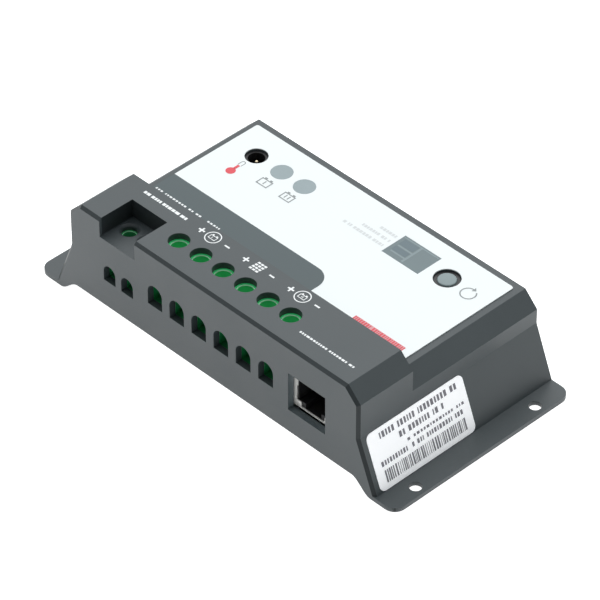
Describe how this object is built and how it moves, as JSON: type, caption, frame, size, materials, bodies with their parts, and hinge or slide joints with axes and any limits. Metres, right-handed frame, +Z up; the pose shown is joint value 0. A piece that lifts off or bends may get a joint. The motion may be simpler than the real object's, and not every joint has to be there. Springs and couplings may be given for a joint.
{
  "type": "charge controller",
  "caption": "Flat dark moulded charge controller with mounting flanges, screw terminals along the front, a printed control face with push button, lamps and display, and a data jack.",
  "frame": {"origin": "centre of the footprint on the mounting surface, under the flanges", "axes": "+X along the terminal face towards the data jack, -Y out of the terminal face, +Z up through the control face"},
  "size_m": [0.153, 0.074, 0.037],
  "materials": {
    "housing": "fine moulded texture",
    "plate": "brushed",
    "steel_screw": "zinc plated",
    "film_white": "satin printed film",
    "window_grey": "satin tinted",
    "board": "solder mask",
    "brass_part": "plated",
    "spacer_white": "natural nylon",
    "black_plastic": "satin",
    "led_clear": "clear",
    "segment": "diffuser",
    "terminal_green": "satin",
    "terminal_metal": "plated",
    "pin_beige": "plated",
    "cap_sleeve": "shrink sleeve",
    "pad_grey": "soft silicone",
    "shunt_alloy": "plain",
    "ferrite": "matte"
  },
  "bodies": {
    "housing": {"top_shell": "housing", "base_plate": "plate", "base_screws": "steel_screw", "faceplate_film": "film_white", "lamp_window_1": "window_grey", "lamp_window_2": "window_grey", "display_window": "window_grey", "rating_label": "film_white", "main_pcb": "board", "pcb_standoffs": "brass_part", "pcb_screws": "steel_screw", "display_pcb": "board", "display_spacers": "spacer_white", "display_screws": "steel_screw", "header_block": "black_plastic", "header_pins": "brass_part", "lamp_led_1": "led_clear", "lamp_led_2": "led_clear", "digit_display": "black_plastic", "digit_segments": "segment", "level_bars": "segment", "button_switch": "black_plastic", "button_collar": "black_plastic", "socket_body": "black_plastic", "socket_pin": "pin_beige", "terminal_block": "terminal_green", "terminal_contacts": "terminal_metal", "aux_block": "terminal_green", "aux_contacts": "terminal_metal", "jack_shield": "terminal_metal", "jack_insert": "black_plastic", "jack_contacts": "brass_part", "capacitors": "cap_sleeve", "transistor_bodies": "black_plastic", "transistor_tabs": "terminal_metal", "thermal_pad": "pad_grey", "current_shunts": "shunt_alloy", "supply_inductor": "ferrite", "controller_chip": "black_plastic", "chip_leads": "terminal_metal"},
    "push_button": {"button_plunger": "terminal_metal", "button_cap": "window_grey"},
    "clamp_screw_1": {"terminal_screw_1": "terminal_metal"},
    "clamp_screw_2": {"terminal_screw_2": "terminal_metal"},
    "clamp_screw_3": {"terminal_screw_3": "terminal_metal"},
    "clamp_screw_4": {"terminal_screw_4": "terminal_metal"},
    "clamp_screw_5": {"terminal_screw_5": "terminal_metal"},
    "clamp_screw_6": {"terminal_screw_6": "terminal_metal"},
    "clamp_cage_1": {"terminal_cage_1": "terminal_metal"},
    "clamp_cage_2": {"terminal_cage_2": "terminal_metal"},
    "clamp_cage_3": {"terminal_cage_3": "terminal_metal"},
    "clamp_cage_4": {"terminal_cage_4": "terminal_metal"},
    "clamp_cage_5": {"terminal_cage_5": "terminal_metal"},
    "clamp_cage_6": {"terminal_cage_6": "terminal_metal"},
    "small_screw_1": {"aux_screw_1": "terminal_metal"},
    "small_screw_2": {"aux_screw_2": "terminal_metal"},
    "small_cage_1": {"aux_cage_1": "terminal_metal"},
    "small_cage_2": {"aux_cage_2": "terminal_metal"}
  },
  "joints": [
    {"name": "push_button_press", "type": "slide", "parent": "housing", "child": "push_button", "axis": [0, 0, 1], "range_m": [-0.0004, 0], "stiffness_N_per_m": 1500, "springref_m": 0.0004},
    {"name": "clamp_cage_1_lift", "type": "slide", "parent": "housing", "child": "clamp_cage_1", "axis": [0, 0, 1], "range_m": [0, 0.0039]},
    {"name": "clamp_screw_1_turn", "type": "hinge", "parent": "housing", "child": "clamp_screw_1", "pos_m": [-0.0238, -0.0268, 0.025], "axis": [0, 0, 1], "range_deg": [-2808.5, 0]},
    {"name": "clamp_cage_2_lift", "type": "slide", "parent": "housing", "child": "clamp_cage_2", "axis": [0, 0, 1], "range_m": [0, 0.0039]},
    {"name": "clamp_screw_2_turn", "type": "hinge", "parent": "housing", "child": "clamp_screw_2", "pos_m": [-0.01436, -0.0268, 0.025], "axis": [0, 0, 1], "range_deg": [-2808.5, 0]},
    {"name": "clamp_cage_3_lift", "type": "slide", "parent": "housing", "child": "clamp_cage_3", "axis": [0, 0, 1], "range_m": [0, 0.0039]},
    {"name": "clamp_screw_3_turn", "type": "hinge", "parent": "housing", "child": "clamp_screw_3", "pos_m": [-0.00492, -0.0268, 0.025], "axis": [0, 0, 1], "range_deg": [-2808.5, 0]},
    {"name": "clamp_cage_4_lift", "type": "slide", "parent": "housing", "child": "clamp_cage_4", "axis": [0, 0, 1], "range_m": [0, 0.0039]},
    {"name": "clamp_screw_4_turn", "type": "hinge", "parent": "housing", "child": "clamp_screw_4", "pos_m": [0.00452, -0.0268, 0.025], "axis": [0, 0, 1], "range_deg": [-2808.5, 0]},
    {"name": "clamp_cage_5_lift", "type": "slide", "parent": "housing", "child": "clamp_cage_5", "axis": [0, 0, 1], "range_m": [0, 0.0039]},
    {"name": "clamp_screw_5_turn", "type": "hinge", "parent": "housing", "child": "clamp_screw_5", "pos_m": [0.01396, -0.0268, 0.025], "axis": [0, 0, 1], "range_deg": [-2808.5, 0]},
    {"name": "clamp_cage_6_lift", "type": "slide", "parent": "housing", "child": "clamp_cage_6", "axis": [0, 0, 1], "range_m": [0, 0.0039]},
    {"name": "clamp_screw_6_turn", "type": "hinge", "parent": "housing", "child": "clamp_screw_6", "pos_m": [0.0234, -0.0268, 0.025], "axis": [0, 0, 1], "range_deg": [-2808.5, 0]},
    {"name": "small_cage_1_lift", "type": "slide", "parent": "housing", "child": "small_cage_1", "axis": [0, 0, 1], "range_m": [0, 0.0025]},
    {"name": "small_screw_1_turn", "type": "hinge", "parent": "housing", "child": "small_screw_1", "pos_m": [-0.0438, -0.0285, 0.025], "axis": [0, 0, 1], "range_deg": [-2250.5, 0]},
    {"name": "small_cage_2_lift", "type": "slide", "parent": "housing", "child": "small_cage_2", "axis": [0, 0, 1], "range_m": [0, 0.0025]},
    {"name": "small_screw_2_turn", "type": "hinge", "parent": "housing", "child": "small_screw_2", "pos_m": [-0.0361, -0.0285, 0.025], "axis": [0, 0, 1], "range_deg": [-2250.5, 0]}
  ],
  "couplings": [
    {"joint": "clamp_screw_1_turn", "follows": "clamp_cage_1_lift", "rad_per_m": -12566},
    {"joint": "clamp_screw_2_turn", "follows": "clamp_cage_2_lift", "rad_per_m": -12566},
    {"joint": "clamp_screw_3_turn", "follows": "clamp_cage_3_lift", "rad_per_m": -12566},
    {"joint": "clamp_screw_4_turn", "follows": "clamp_cage_4_lift", "rad_per_m": -12566},
    {"joint": "clamp_screw_5_turn", "follows": "clamp_cage_5_lift", "rad_per_m": -12566},
    {"joint": "clamp_screw_6_turn", "follows": "clamp_cage_6_lift", "rad_per_m": -12566},
    {"joint": "small_screw_1_turn", "follows": "small_cage_1_lift", "rad_per_m": -15708},
    {"joint": "small_screw_2_turn", "follows": "small_cage_2_lift", "rad_per_m": -15708}
  ]
}
